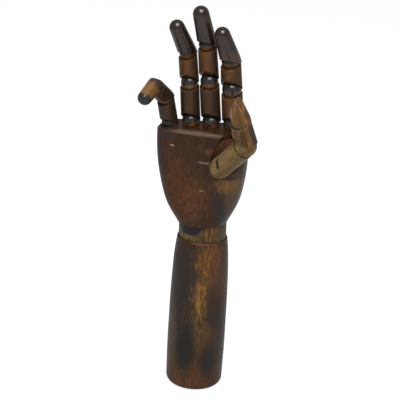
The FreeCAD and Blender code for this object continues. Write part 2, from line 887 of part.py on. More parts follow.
def makeFinger(finger):
    knuckle, first, second, third = fingerFrames(finger)
    rimTilt = slope(cell("rimTilt"))
    facing = cell(f"{finger}BevelTwist")
    one = cell(f"{finger}RadiusOne")
    two = cell(f"{finger}RadiusTwo")
    three = cell(f"{finger}RadiusThree")
    tip = cell(f"{finger}RadiusTip")
    lengthOne = cell(f"{finger}LengthOne")
    lengthTwo = cell(f"{finger}LengthTwo")
    lengthThree = cell(f"{finger}LengthThree")
    makeKnuckle(finger, knuckle)
    makeHinge(f"{finger}_knuckle_hinge", first, one)
    seat = cell(f"{finger}Seat")
    liftOne = cell(f"{finger}BevelLiftOne")
    body = makeBone(f"{finger}_first_bone", first, lengthOne, one, two, seat, rimTilt)
    bevelFoot(body, one, seat, rimTilt * 0, liftOne, facing)
    slantRim(body, two, lengthOne, ballOf(two) * rimDepthShare, rimTilt, facing)
    addKerf(body, one)
    ballOne = first * shift(0, 0, lengthOne.number)
    makeBall(f"{finger}_middle_ball", ballOne, two, cell("middleFold"))
    makeHinge(f"{finger}_middle_hinge", second, two)
    liftTwo = cell(f"{finger}BevelLiftTwo")
    depth = ballOf(two) * rimDepthShare
    body = makeBone(f"{finger}_second_bone", second, lengthTwo, two, three, depth, rimTilt)
    bevelFoot(body, two, depth, rimTilt, liftTwo, facing)
    endTwist = cell(f"{finger}EndTwist")
    slantRim(body, three, lengthTwo, ballOf(three) * rimDepthShare, rimTilt, -endTwist)
    addKerf(body, two)
    ballTwo = second * shift(0, 0, lengthTwo.number) * turn(axisZ, -endTwist.number)
    makeBall(f"{finger}_end_ball", ballTwo, three, cell("endFold"))
    makeHinge(f"{finger}_end_hinge", third, three)
    makeTip(f"{finger}_end_bone", third, lengthThree, three, tip)


# Thumb
def makeThumbStud(frame):
    eye = cell("thumbEyeRadius")
    thick = cell("thumbFlatThickness")
    shoulder = -(cell("thumbRootRadius") + cell("thumbRootGap"))
    body = makeBody("thumb_stud", frame)
    hole = cell("thumbPinRadius") + cell("runningGap")
    addEye(body, "YZ_Plane", eye, thick, shoulder, hole)
    low = shoulder - cell("thumbStudLength")
    post(body, "Additive", "stud", cell("thumbStudRadius"), low, shoulder)


def makeThumbPin(frame):
    body = makeBody("thumb_root_pin", frame)
    sketch = makeSketch(body, "round", "YZ_Plane")
    circle(sketch, zero, zero, cell("thumbPinRadius"))
    bothWays(body, "Pad", "pin", sketch, cell("thumbPinLength"))


# the first thumb bone: a round root that sits in the palm, slotted for the stud
def makeThumbRoot(frame, length):
    rootRadius = cell("thumbRootRadius")
    neck = cell("thumbNeckRadius")
    cup = ballOf(cell("thumbRadiusOne"))
    top = length - cup * rimDepthShare
    body = makeBody("thumb_first_bone", frame)
    points = [
        (zero, -rootRadius),
        (rootRadius, zero),
        (neck, cell("thumbNeckHeight")),
        (neck, top),
        (leg(cup, cup * rimDepthShare), top),
        (zero, length - cup),
    ]
    turned(body, "turning", points, {0: (rootRadius, 1), 4: (cup, -1)})
    eye = cell("thumbEyeRadius") + cell("slotGap")
    reach = rootRadius + cutOverrun
    wide = eye + reach * slope(cell("thumbSlotReach"))
    slot = [
        (-eye, eye),
        (-eye, zero),
        (-wide, -reach),
        (wide, -reach),
        (eye, zero),
        (eye, eye),
    ]
    sideCut(body, "studSlot", slot, cell("thumbFlatThickness") + cell("slotGap") * 2)
    boreCut(body, "pinBore", zero, zero, cell("thumbPinRadius"), reach * 2)


# the thumb's end narrows to a gable
def makeThumbTip(frame, length):
    rimTilt = slope(cell("rimTilt"))
    low = cell("thumbRadiusTwo")
    tip = cell("thumbRadiusTip")
    socket = socketOf(low)
    lowDepth = ballOf(low) * rimDepthShare
    body = makeBody("thumb_end_bone", frame)
    points = [
        (leg(socket, lowDepth), -lowDepth),
        (low, -lowDepth),
        (low, low * straightShare),
        (tip, length),
        (zero, length),
        (zero, socket),
    ]
    turned(body, "turning", points, {5: (socket, -1)})
    bevelFoot(body, low, lowDepth, rimTilt, zero)
    addKerf(body, low)
    fall = cell("gableHeight")
    for name, side in (("gableFront", -1), ("gableBack", 1)):
        out = tip * side
        points = [
            (zero, length),
            (out * 2, length - fall * 2),
            (out * 2, length + fall),
            (zero, length + fall),
        ]
        sideCut(body, name, points, low * 4)


def makeThumb():
    rootFrame = palmFrame * thumbFrame()
    reach, bend = thumbReaches()
    long = root(
        cell("thumbSwingX") * cell("thumbSwingX")
        + cell("thumbSwingY") * cell("thumbSwingY")
        + cell("thumbSwingZ") * cell("thumbSwingZ")
    )
    one = cell("thumbRadiusOne")
    two = cell("thumbRadiusTwo")
    lengthTwo = cell("thumbLengthTwo")
    makeThumbStud(rootFrame)
    makeThumbPin(rootFrame)
    makeThumbRoot(rootFrame, long)
    ballOne = rootFrame * shift(0, 0, reach)
    second = ballOne * turn(axisX, bend)
    makeBall("thumb_middle_ball", ballOne, one, cell("thumbFold"))
    makeHinge("thumb_middle_hinge", second, one)
    rimTilt = slope(cell("rimTilt"))
    depth = ballOf(one) * rimDepthShare
    body = makeBone("thumb_second_bone", second, lengthTwo, one, two, depth, rimTilt)
    lift = cell("thumbBevelLift")
    facing = cell("thumbBevelTwist")
    bevelFoot(body, one, depth, rimTilt * 0, lift, facing, "thumbBevelAngle")
    slantRim(body, two, lengthTwo, ballOf(two) * rimDepthShare, rimTilt)
    addKerf(body, one)
    ballTwo = second * shift(0, 0, lengthTwo.number)
    third = ballTwo * turn(axisX, cell("thumbTipBend").number)
    makeBall("thumb_end_ball", ballTwo, two, cell("thumbEndFold"))
    makeHinge("thumb_end_hinge", third, two)
    makeThumbTip(third, cell("thumbLengthThree"))


makeForearm()
makeBasePlug()
makeWristRod()
makeWristWasher()
makeWristNut()
makeWristBall()
makeWristPins()
makePalmTie()
makePalm()
for finger in fingers:
    makeFinger(finger)
makeThumb()
doc.recompute()

# every object is sound before anything is written
for item in doc.Objects:
    for state in item.State:
        if state in ("Invalid", "Error"):
            raise RuntimeError(f"{item.Name}: {state}")
for body in subParts:
    if body.Shape.isNull() or not body.Shape.isValid() or len(body.Shape.Solids) != 1:
        raise RuntimeError(f"{body.Label} is not one sound solid")

os.makedirs("parts", exist_ok=True)
for body in subParts:
    body.Shape.exportStep(f"parts/{body.Label}.step")
    print(body.Label, round(body.Shape.Volume, 1))
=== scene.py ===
import json
import math
import bmesh
import bpy
from mathutils import Matrix, Vector


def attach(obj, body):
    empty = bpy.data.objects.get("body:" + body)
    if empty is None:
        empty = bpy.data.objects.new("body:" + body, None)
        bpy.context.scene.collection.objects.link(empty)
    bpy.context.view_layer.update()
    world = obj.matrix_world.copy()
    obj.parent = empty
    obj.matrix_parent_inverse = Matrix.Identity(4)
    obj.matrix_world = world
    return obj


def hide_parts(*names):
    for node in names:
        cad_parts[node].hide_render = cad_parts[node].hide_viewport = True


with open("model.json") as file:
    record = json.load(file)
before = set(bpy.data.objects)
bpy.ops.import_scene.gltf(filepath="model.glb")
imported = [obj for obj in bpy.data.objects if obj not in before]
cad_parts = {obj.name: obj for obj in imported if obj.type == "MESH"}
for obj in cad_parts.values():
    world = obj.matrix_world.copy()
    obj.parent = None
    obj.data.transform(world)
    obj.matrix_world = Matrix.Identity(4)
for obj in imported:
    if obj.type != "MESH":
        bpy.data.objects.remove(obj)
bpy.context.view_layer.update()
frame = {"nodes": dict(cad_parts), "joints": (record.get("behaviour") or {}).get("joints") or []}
nodes = frame["nodes"]
joints = {joint["name"]: joint for joint in frame["joints"]}
print("frame loaded with", len(nodes), "nodes")


# a colour as it looks on the screen, turned into Blender's own scale
def paint(red, green, blue):
    def level(value):
        share = value / 255
        return share / 12.92 if share <= 0.04045 else ((share + 0.055) / 1.055) ** 2.4
    return (level(red), level(green), level(blue), 1)


# Camera: it stands where the photograph was taken from
cameraPlace = {
    "aim": (-0.00415, 0.0, 0.1749),
    "turn": 15.0,
    "height": 18.98,
    "distance": 0.8462,
    "roll": -3.49,
    "lens": 86.75,
    "sensor": 36,
    "clip": (0.01, 20),
}


def cameraAxes():
    turn = math.radians(cameraPlace["turn"])
    height = math.radians(cameraPlace["height"])
    roll = math.radians(cameraPlace["roll"])
    outward = Vector((
        math.sin(turn) * math.cos(height),
        -math.cos(turn) * math.cos(height),
        math.sin(height),
    ))
    level = Vector((math.cos(turn), math.sin(turn), 0))
    upright = outward.cross(level)
    across = level * math.cos(roll) - upright * math.sin(roll)
    up = level * math.sin(roll) + upright * math.cos(roll)
    return across, up, outward


def addCamera():
    across, up, outward = cameraAxes()
    data = bpy.data.cameras.new("photoCamera")
    data.lens = cameraPlace["lens"]
    data.sensor_width = cameraPlace["sensor"]
    data.clip_start, data.clip_end = cameraPlace["clip"]
    camera = bpy.data.objects.new("photoCamera", data)
    bpy.context.scene.collection.objects.link(camera)
    stand = Matrix((across, up, outward)).transposed().to_4x4()
    stand.translation = Vector(cameraPlace["aim"]) + outward * cameraPlace["distance"]
    camera.matrix_world = stand
    bpy.context.scene.camera = camera


addCamera()
bpy.context.scene.view_settings.view_transform = "Standard"
print("camera placed")


# Node helpers
def put(tree, kind, **settings):
    made = tree.nodes.new("ShaderNode" + kind)
    for name, value in settings.items():
        setattr(made, name, value)
    return made


def feed(tree, socket, value):
    if isinstance(value, bpy.types.NodeSocket):
        tree.links.new(value, socket)
    else:
        socket.default_value = value


def mixColour(tree, share, first, second):
    mix = put(tree, "Mix", data_type="RGBA")
    feed(tree, mix.inputs[0], share)
    feed(tree, mix.inputs[6], first)
    feed(tree, mix.inputs[7], second)
    return mix.outputs[2]


def sums(tree, operation, first, second=0.0, clamp=False):
    made = put(tree, "Math", operation=operation, use_clamp=clamp)
    feed(tree, made.inputs[0], first)
    feed(tree, made.inputs[1], second)
    return made.outputs[0]


def spread(tree, value, low, high, toLow=0.0, toHigh=1.0):
    made = put(tree, "MapRange", interpolation_type="SMOOTHSTEP")
    feed(tree, made.inputs[0], value)
    for socket, number in zip(made.inputs[1:5], (low, high, toLow, toHigh)):
        feed(tree, socket, number)
    return made.outputs[0]


# noise from one layer of values: its size, detail, roughness, and its scale along the piece
def speckle(tree, vector, layer):
    size, detail, roughness, along = layer
    if along != 1:
        mapping = put(tree, "Mapping")
        feed(tree, mapping.inputs["Vector"], vector)
        mapping.inputs["Scale"].default_value = (1, 1, along)
        vector = mapping.outputs[0]
    made = put(tree, "TexNoise")
    feed(tree, made.inputs["Vector"], vector)
    made.inputs["Scale"].default_value = size
    made.inputs["Detail"].default_value = detail
    made.inputs["Roughness"].default_value = roughness
    return made.outputs[0]


def newGroup(name, inputs, outputs):
    tree = bpy.data.node_groups.new(name, "ShaderNodeTree")
    for label, kind, value in inputs:
        socket = tree.interface.new_socket(label, in_out="INPUT", socket_type="NodeSocket" + kind)
        if value is not None:
            socket.default_value = value
    for label, kind in outputs:
        tree.interface.new_socket(label, in_out="OUTPUT", socket_type="NodeSocket" + kind)
    given = tree.nodes.new("NodeGroupInput").outputs
    wanted = tree.nodes.new("NodeGroupOutput").inputs
    return tree, given, wanted


# puts a shared group into a material
def place(tree, group, **values):
    made = put(tree, "Group")
    made.node_tree = group
    for label, value in values.items():
        feed(tree, made.inputs[label], value)
    return made.outputs


# Wood figure: streaks, grain and pores that run along the piece, and cloudy varnish
figureLayers = {
    "Streak": (105, 5, 0.65, 0.2),
    "Grain": (620, 5, 0.62, 0.07),
    "Mottle": (430, 6, 0.7, 0.4),
    "Pores": (2400, 2, 0.5, 0.03),
    "Clouds": (75, 5, 0.62, 1),
}
poreRange = (0.6, 0.72)


def makeFigure():
    layers = [(label, "Float") for label in figureLayers]
    tree, given, wanted = newGroup("woodFigure", [("Vector", "Vector", None)], layers)
    for label, layer in figureLayers.items():
        value = speckle(tree, given["Vector"], layer)
        if label == "Pores":
            value = spread(tree, value, *poreRange)
        feed(tree, wanted[label], value)
    return tree


# Stain, painted light and painted shade: a soft or ragged patch round a point
stainAndLightEdge = {"layer": (420, 4, 0.6, 0.3), "sway": 4.0}


def makeStainAndLightPatch():
    tree, given, wanted = newGroup(
        "stainAndLightPatch",
        [
            ("Vector", "Vector", None),
            ("Middle", "Vector", (0, 0, 0)),
            ("Reach", "Vector", (1, 1, 1)),
            ("Ragged", "Float", 0.5),
            ("Soft", "Float", 0.3),
        ],
        [("Mask", "Float")],
    )
    offset = put(tree, "VectorMath", operation="SUBTRACT")
    feed(tree, offset.inputs[0], given["Vector"])
    feed(tree, offset.inputs[1], given["Middle"])
    shares = put(tree, "VectorMath", operation="DIVIDE")
    feed(tree, shares.inputs[0], offset.outputs[0])
    feed(tree, shares.inputs[1], given["Reach"])
    far = put(tree, "VectorMath", operation="LENGTH")
    feed(tree, far.inputs[0], shares.outputs[0])
    edge = speckle(tree, given["Vector"], stainAndLightEdge["layer"])
    shift = sums(tree, "MULTIPLY", sums(tree, "SUBTRACT", edge, 0.5), given["Ragged"])
    shift = sums(tree, "MULTIPLY", shift, stainAndLightEdge["sway"])
    distance = sums(tree, "ADD", far.outputs["Value"], shift)
    low = sums(tree, "SUBTRACT", 1.0, given["Soft"])
    high = sums(tree, "ADD", 1.0, given["Soft"])
    feed(tree, wanted["Mask"], spread(tree, distance, low, high, 1.0, 0.0))
    return tree


# Scratches: thin crossing lines, each set with its turn and its noise size
scratchLook = {
    "sets": ((0.5, 260), (-0.9, 200), (1.35, 230)),
    "lean": 0.3,
    "roll": 0.4,
    "along": 0.035,
    "detail": 1,
    "roughness": 0.4,
    "width": 0.006,
    "gateLayer": (60, 2, 0.55, 1),
    "gateRange": (0.53, 0.62),
}


def makeScratches():
    tree, given, wanted = newGroup(
        "fineScratches", [("Vector", "Vector", None)], [("Mask", "Float")],
    )
    found = None
    for turnAngle, size in scratchLook["sets"]:
        mapping = put(tree, "Mapping")
        feed(tree, mapping.inputs["Vector"], given["Vector"])
        mapping.inputs["Rotation"].default_value = (
            scratchLook["lean"] * turnAngle, turnAngle, scratchLook["roll"],
        )
        mapping.inputs["Scale"].default_value = (1, 1, scratchLook["along"])
        layer = (size, scratchLook["detail"], scratchLook["roughness"], 1)
        noise = speckle(tree, mapping.outputs[0], layer)
        middle = sums(tree, "ABSOLUTE", sums(tree, "SUBTRACT", noise, 0.5))
        line = spread(tree, middle, 0.0, scratchLook["width"], 1, 0)
        gate = speckle(tree, given["Vector"], scratchLook["gateLayer"])
        line = sums(tree, "MULTIPLY", line, spread(tree, gate, *scratchLook["gateRange"]))
        found = line if found is None else sums(tree, "MAXIMUM", found, line)
    feed(tree, wanted["Mask"], found)
    return tree


# Worn edges: where a narrow rounding would show, broken up by noise
wearLook = {"bentRange": (0.9, 0.998), "layer": (330, 5, 0.65, 1), "brokenRange": (0.36, 0.62)}


def makeWear():
    tree, given, wanted = newGroup(
        "edgeWear",
        [("Vector", "Vector", None), ("Normal", "Vector", None), ("Amount", "Float", 0.5)],
        [("Mask", "Float")],
    )
    flat = put(tree, "NewGeometry").outputs["Normal"]
    facing = put(tree, "VectorMath", operation="DOT_PRODUCT")
    feed(tree, facing.inputs[0], given["Normal"])
    feed(tree, facing.inputs[1], flat)
    bent = spread(tree, facing.outputs["Value"], *wearLook["bentRange"], 1, 0)
    noise = speckle(tree, given["Vector"], wearLook["layer"])
    worn = sums(tree, "MULTIPLY", bent, spread(tree, noise, *wearLook["brokenRange"]))
    feed(tree, wanted["Mask"], sums(tree, "MULTIPLY", worn, given["Amount"], True))
    return tree


woodFigure = makeFigure()
stainAndLightPatch = makeStainAndLightPatch()
fineScratches = makeScratches()
edgeWear = makeWear()
print("shared node groups made")

# What every varnished wood has unless its own look says otherwise
plainWood = {
    "streakRange": (0.38, 0.62),
    "brightRange": (0.43, 0.62),
    "cloudRange": (0.4, 0.6),
    "grainShare": 0.45,
    "poreShare": 0.45,
    "scratchShare": 0.25,
    "edge": 0.0007,
    "edgeSamples": 4,
    "wear": 0.6,
    "roughness": (0.26, 0.42),
    "dullRange": (0.35, 0.65),
    "scratchDull": 0.15,
    "wornDull": 0.2,
    "coat": 0.12,
    "coatRoughness": 0.16,
    "coatIor": 1.5,
    "shine": 0.24,
    "grainRelief": 0.5,
    "poreRelief": 0.4,
    "scratchRelief": 0.5,
    "dents": 1.6,
    "relief": 0.35,
    "reliefDepth": 0.0006,
}
plainBand = {"wave": 0.006, "soft": 0.0008, "share": 1.0, "below": False}
plainStainAndLight = {"ragged": 0.35, "soft": 0.35, "share": 1.0}


# bands cover a piece from one height along it, or all of it below that height
def addBands(tree, colour, bands, own, clouds, bright):
    if not bands:
        return colour
    apart = put(tree, "SeparateXYZ")
    feed(tree, apart.inputs[0], own)
    for given in bands:
        band = {**plainBand, **given}
        wave = sums(tree, "MULTIPLY", sums(tree, "SUBTRACT", clouds, 0.5), band["wave"])
        level = sums(tree, "ADD", apart.outputs["Z"], wave)
        mask = spread(tree, level, band["from"] - band["soft"], band["from"] + band["soft"])
        if band["below"]:
            mask = sums(tree, "SUBTRACT", 1.0, mask)
        mask = sums(tree, "MULTIPLY", mask, band["share"])
        tint = mixColour(tree, bright, band["colour"], band.get("streaked", band["colour"]))
        colour = mixColour(tree, mask, colour, tint)
    return colour


# stains, painted light and painted shade are patches round a point, in the piece's own frame
def addStainsAndLight(tree, colour, stainsAndLight, own, bright):
    for given in stainsAndLight:
        stainAndLight = {**plainStainAndLight, **given}
        patch = place(
            tree, stainAndLightPatch, Vector=own, Middle=stainAndLight["middle"], Reach=stainAndLight["reach"],
            Ragged=stainAndLight["ragged"], Soft=stainAndLight["soft"],
        )
        mask = sums(tree, "MULTIPLY", patch["Mask"], stainAndLight["share"])
        tint = mixColour(tree, bright, stainAndLight["colour"], stainAndLight.get("streaked", stainAndLight["colour"]))
        colour = mixColour(tree, mask, colour, tint)
    return colour


# The colour and finish of one varnished wood; placing is the piece's own frame
def woodMaterial(name, ownLook, placing=None, stainsAndLight=(), bands=()):
    look = {**plainWood, **ownLook}
    material = bpy.data.materials.new(name)
    material.use_nodes = True
    tree = material.node_tree
    shader = tree.nodes["Principled BSDF"]
    vector = put(tree, "TexCoord").outputs["Object"]
    own = vector
    if placing is not None:
        mapping = put(tree, "Mapping", vector_type="TEXTURE")
        feed(tree, mapping.inputs["Vector"], vector)
        mapping.inputs["Location"].default_value = placing.translation
        mapping.inputs["Rotation"].default_value = placing.to_euler()
        own = mapping.outputs[0]
    figure = place(tree, woodFigure, Vector=own)
    streak = spread(tree, figure["Streak"], *look["streakRange"])
    colour = mixColour(tree, streak, look["dark"], look["middle"])
    lined = sums(tree, "MULTIPLY", figure["Grain"], look["grainShare"])
    mottled = sums(tree, "MULTIPLY", figure["Mottle"], 1 - look["grainShare"])
    bright = spread(tree, sums(tree, "ADD", lined, mottled), *look["brightRange"])
    clouded = spread(tree, figure["Clouds"], *look["cloudRange"])
    lit = sums(tree, "MULTIPLY", sums(tree, "MULTIPLY", bright, clouded), look["lightShare"])
    colour = mixColour(tree, lit, colour, look["light"])
    colour = addBands(tree, colour, bands, own, figure["Clouds"], bright)
    colour = addStainsAndLight(tree, colour, stainsAndLight, own, bright)
    pored = sums(tree, "MULTIPLY", figure["Pores"], look["poreShare"])
    colour = mixColour(tree, pored, colour, look["dark"])
    rounding = put(tree, "Bevel", samples=look["edgeSamples"])
    rounding.inputs["Radius"].default_value = look["edge"]
    wear = place(tree, edgeWear, Vector=vector, Normal=rounding.outputs[0], Amount=look["wear"])
    worn = wear["Mask"]
    colour = mixColour(tree, worn, colour, look["worn"])
    scratched = place(tree, fineScratches, Vector=own)["Mask"]
    pale = sums(tree, "MULTIPLY", scratched, look["scratchShare"])
    feed(tree, shader.inputs["Base Color"], mixColour(tree, pale, colour, look["worn"]))
    dull = spread(tree, figure["Clouds"], *look["dullRange"], *look["roughness"])
    dull = sums(tree, "ADD", dull, sums(tree, "MULTIPLY", scratched, look["scratchDull"]))
    dull = sums(tree, "ADD", dull, sums(tree, "MULTIPLY", worn, look["wornDull"]), True)
    feed(tree, shader.inputs["Roughness"], dull)
    shader.inputs["Coat Weight"].default_value = look["coat"]
    shader.inputs["Coat Roughness"].default_value = look["coatRoughness"]
    shader.inputs["Coat IOR"].default_value = look["coatIor"]
    shader.inputs["Specular IOR Level"].default_value = look["shine"]
    height = sums(tree, "MULTIPLY", figure["Grain"], look["grainRelief"])
    for operation, mask, share in (
        ("SUBTRACT", figure["Pores"], look["poreRelief"]),
        ("SUBTRACT", scratched, look["scratchRelief"]),
        ("ADD", figure["Clouds"], look["dents"]),
    ):
        height = sums(tree, operation, height, sums(tree, "MULTIPLY", mask, share))
    bump = put(tree, "Bump")
    bump.inputs["Strength"].default_value = look["relief"]
    bump.inputs["Distance"].default_value = look["reliefDepth"]
    feed(tree, bump.inputs["Height"], height)
    feed(tree, bump.inputs["Normal"], rounding.outputs[0])
    feed(tree, shader.inputs["Normal"], bump.outputs[0])
    return material


# gives a node one material, whatever it had
def dress(name, material):
    mesh = nodes[name].data
    if not mesh.materials:
        mesh.materials.append(material)
    for slot in range(len(mesh.materials)):
        mesh.materials[slot] = material


def jointPlace(name):
    return Vector(joints[name]["pos_m"])


def jointAxis(name):
    return Vector(joints[name]["axis"])


# A bone's own frame: across is its bending axis, up the way it points
def boneFrame(jointName, endPoint):
    start = jointPlace(jointName)
    side = jointAxis(jointName)
    if jointName.startswith("thumb"):
        side = -side
    along = (endPoint - start).normalized()
    back = along.cross(side).normalized()
    side = back.cross(along)
    made = Matrix((side, back, along)).transposed().to_4x4()
    made.translation = start
    return made


# the same frame with its middle somewhere else, for the ball on a bone's end
def movedFrame(boneAxes, middle):
    made = boneAxes.copy()
    made.translation = middle
    return made


farEndDepth = 0.0005


# the middle of a node's far end, which is all within that depth of its farthest point
def farthest(name, start):
    points = [vertex.co for vertex in nodes[name].data.vertices]
    reach = max((point - start).length for point in points) - farEndDepth
    ends = [point for point in points if (point - start).length > reach]
    low = Vector(min(point[k] for point in ends) for k in range(3))
    high = Vector(max(point[k] for point in ends) for k in range(3))
    return (low + high) / 2


# how near points are one point or lie on a cut, and the angle from which an edge stays sharp
carving = {"merge": 0.000002, "onPlane": 0.000001, "sharpFrom": 0.5}


# a piece cut from a copy of a CAD solid by flat faces, for shapes with facets
def carve(name, newName, placing, cuts, body):
    mesh = nodes[name].data.copy()
    mesh.name = newName
    shape = bmesh.new()
    shape.from_mesh(mesh)
    bmesh.ops.remove_doubles(shape, verts=shape.verts, dist=carving["merge"])
    for middle, way in cuts:
        geometry = shape.verts[:] + shape.edges[:] + shape.faces[:]
        found = bmesh.ops.bisect_plane(
            shape, geom=geometry, dist=carving["onPlane"], plane_co=placing @ Vector(middle),
            plane_no=(placing.to_3x3() @ Vector(way)).normalized(), clear_outer=True,
        )
        rim = [part for part in found["geom_cut"] if isinstance(part, bmesh.types.BMEdge)]
        bmesh.ops.holes_fill(shape, edges=rim, sides=0)
    bmesh.ops.recalc_face_normals(shape, faces=shape.faces)
    bmesh.ops.triangulate(shape, faces=shape.faces)
    for face in shape.faces:
        face.smooth = True
    for edge in shape.edges:
        edge.smooth = edge.is_manifold and edge.calc_face_angle(0) < carving["sharpFrom"]
    shape.to_mesh(mesh)
    shape.free()
    mesh.materials.clear()
    piece = bpy.data.objects.new(newName, mesh)
    bpy.context.scene.collection.objects.link(piece)
    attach(piece, body)
    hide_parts(name)
    return piece


# Forearm
forearmLook = {
    "dark": paint(48, 41, 35),
    "middle": paint(68, 50, 36),
    "light": paint(92, 62, 34),
    "lightShare": 0.45,
    # the edge wear colour and amount are partly real wear and partly a painted highlight on the
    # rounded top rim
    "worn": paint(134, 88, 44),
    "wear": 0.9,
    "roughness": (0.24, 0.4),
}
forearmStainsAndRimHighlight = [
    # painted highlight along the forearm's rounded top rim, partly also worn varnish
    {"middle": (0.009, -0.0205, 0.1423), "reach": (0.015, 0.006, 0.0008),
     "colour": paint(152, 92, 50), "ragged": 0.2, "share": 0.8},
    {"middle": (0.012, -0.022, 0.112), "reach": (0.009, 0.02, 0.034), "colour": paint(88, 56, 30),
     "streaked": paint(150, 106, 44), "ragged": 0.7, "share": 0.85},
    {"middle": (0.0145, -0.021, 0.128), "reach": (0.008, 0.02, 0.016), "colour": paint(102, 62, 34),
     "streaked": paint(138, 92, 40), "ragged": 0.5, "share": 0.8},
    {"middle": (0.0085, -0.023, 0.09), "reach": (0.006, 0.02, 0.022), "colour": paint(100, 66, 32),
     "streaked": paint(172, 128, 52), "ragged": 0.9, "share": 0.75},
    {"middle": (0.02, -0.018, 0.105), "reach": (0.007, 0.02, 0.03), "colour": paint(92, 56, 38),
     "ragged": 0.5, "share": 0.7},
    {"middle": (0.003, -0.024, 0.097), "reach": (0.004, 0.02, 0.012), "colour": paint(104, 76, 54),
     "ragged": 1.0, "share": 0.35},
    {"middle": (-0.013, -0.022, 0.1), "reach": (0.006, 0.02, 0.045), "colour": paint(42, 38, 40),
     "ragged": 0.4, "share": 0.6},
    {"middle": (-0.0185, -0.018, 0.045), "reach": (0.006, 0.02, 0.035), "colour": paint(86, 66, 48),
     "ragged": 0.3, "soft": 0.5, "share": 0.7},
    {"middle": (0.0, -0.025, 0.012), "reach": (0.022, 0.02, 0.016), "colour": paint(88, 52, 32),
     "streaked": paint(118, 78, 34), "ragged": 0.6, "soft": 0.5, "share": 0.85},
    {"middle": (0.011, -0.024, 0.056), "reach": (0.008, 0.02, 0.02), "colour": paint(84, 60, 34),
     "streaked": paint(116, 84, 40), "ragged": 0.7, "soft": 0.5, "share": 0.75},
    {"middle": (-0.003, -0.025, 0.041), "reach": (0.009, 0.02, 0.024), "colour": paint(34, 31, 31),
     "ragged": 0.4, "soft": 0.4, "share": 0.85},
    {"middle": (0.0165, -0.02, 0.03), "reach": (0.006, 0.02, 0.018), "colour": paint(38, 34, 32),
     "ragged": 0.3, "soft": 0.5, "share": 0.75},
    {"middle": (0.0185, -0.018, 0.083), "reach": (0.006, 0.02, 0.018), "colour": paint(40, 36, 34),
     "ragged": 0.3, "soft": 0.5, "share": 0.7},
]
forearmWood = woodMaterial("forearmWood", forearmLook, None, forearmStainsAndRimHighlight)
for name in ("forearm", "base_plug"):
    dress(name, forearmWood)

# Wrist bead
wristLook = {
    "dark": paint(62, 48, 34),
    "middle": paint(88, 66, 40),
    "light": paint(124, 92, 50),
    "lightShare": 0.7,
    "worn": paint(160, 120, 70),
    "roughness": (0.28, 0.42),
}
wristStainsShadowAndSheen = [
    # painted shadow cast by the palm's lower end across the top left of the bead
    {"middle": (-0.0085, -0.021, 0.1562), "reach": (0.0145, 0.02, 0.0076),
     "colour": paint(34, 31, 33), "ragged": 0.2, "soft": 0.08},
    {"middle": (0.0125, -0.018, 0.1515), "reach": (0.0085, 0.02, 0.0065),
     "colour": paint(80, 54, 26), "streaked": paint(136, 98, 44), "ragged": 0.6},
    {"middle": (-0.008, -0.02, 0.1465), "reach": (0.01, 0.02, 0.0022), "colour": paint(90, 70, 34),
     "streaked": paint(132, 106, 52), "ragged": 0.4},
    # painted highlight: pale greyish sheen down the bead's left and right sides
    {"middle": (-0.02, -0.01, 0.15), "reach": (0.006, 0.02, 0.01), "colour": paint(88, 84, 80),
     "ragged": 0.3, "share": 0.6},
    {"middle": (0.02, -0.012, 0.15), "reach": (0.004, 0.02, 0.008), "colour": paint(86, 76, 58),
     "ragged": 0.3, "share": 0.6},
]
dress("wrist_ball", woodMaterial("wristWood", wristLook, None, wristStainsShadowAndSheen))

